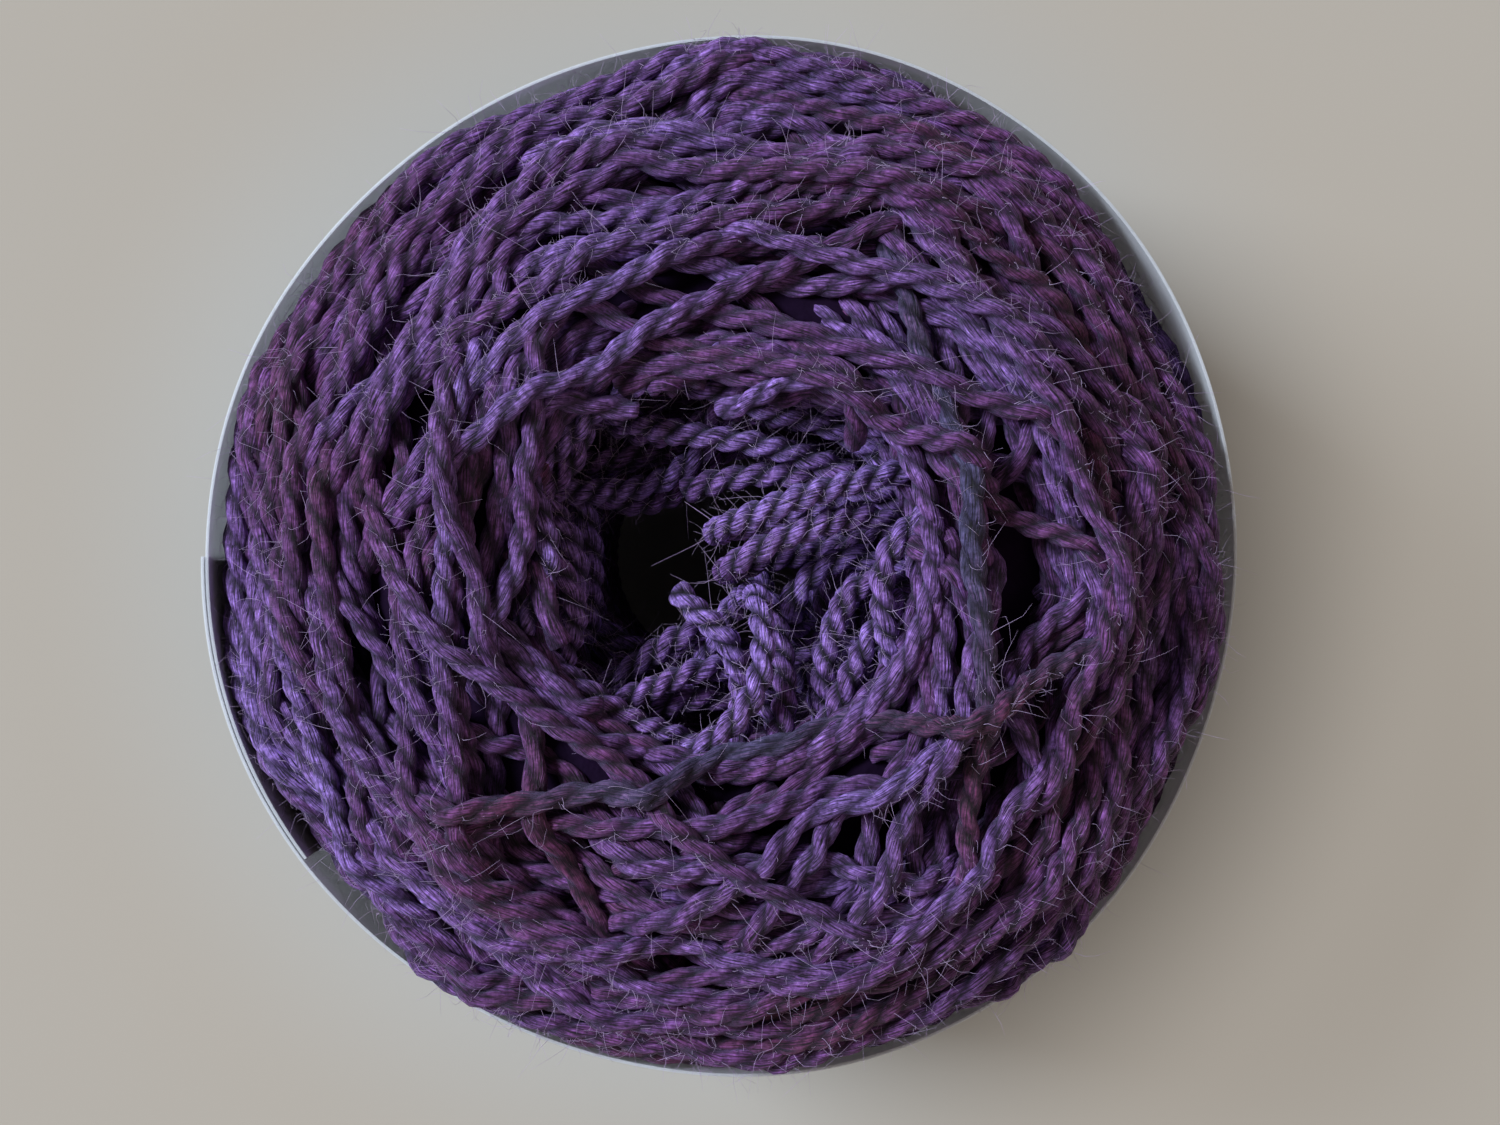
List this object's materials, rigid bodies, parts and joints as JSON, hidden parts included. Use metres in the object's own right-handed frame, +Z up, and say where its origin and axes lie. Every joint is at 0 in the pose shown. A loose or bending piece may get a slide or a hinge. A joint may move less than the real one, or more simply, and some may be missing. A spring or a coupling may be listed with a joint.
{
  "type": "ball of yarn",
  "caption": "Centre-pull ball of deep purple plied wool yarn with slumped loops in its hole and a plain paper ball band round its equator.",
  "frame": {"origin": "middle of the flat foot, on the axis of the hole through the ball", "axes": "+Z up along the hole, from the foot to the crater; the band's cut ends are on the -X side"},
  "size_m": [0.0695, 0.0692, 0.056],
  "materials": {
    "yarn": "matt two-ply wool, hairy, dyed in close tones of purple",
    "paper": null,
    "glue": "dried clear paste"
  },
  "bodies": {
    "ball": {"inner_wind": "yarn", "middle_wind": "yarn", "outer_wind": "yarn", "top_loops": "yarn", "upper_left_loops": "yarn", "deep_loop": "yarn", "right_pair_loops": "yarn", "right_loops": "yarn", "bottom_loops": "yarn", "left_loops": "yarn", "pull_end": "yarn"},
    "band": {"paper_band": "paper", "band_glue": "glue"}
  },
  "joints": [
    {"name": "band_slide", "type": "slide", "parent": "ball", "child": "band", "axis": [0, 0, 1], "range_m": [0, 0.05]}
  ]
}
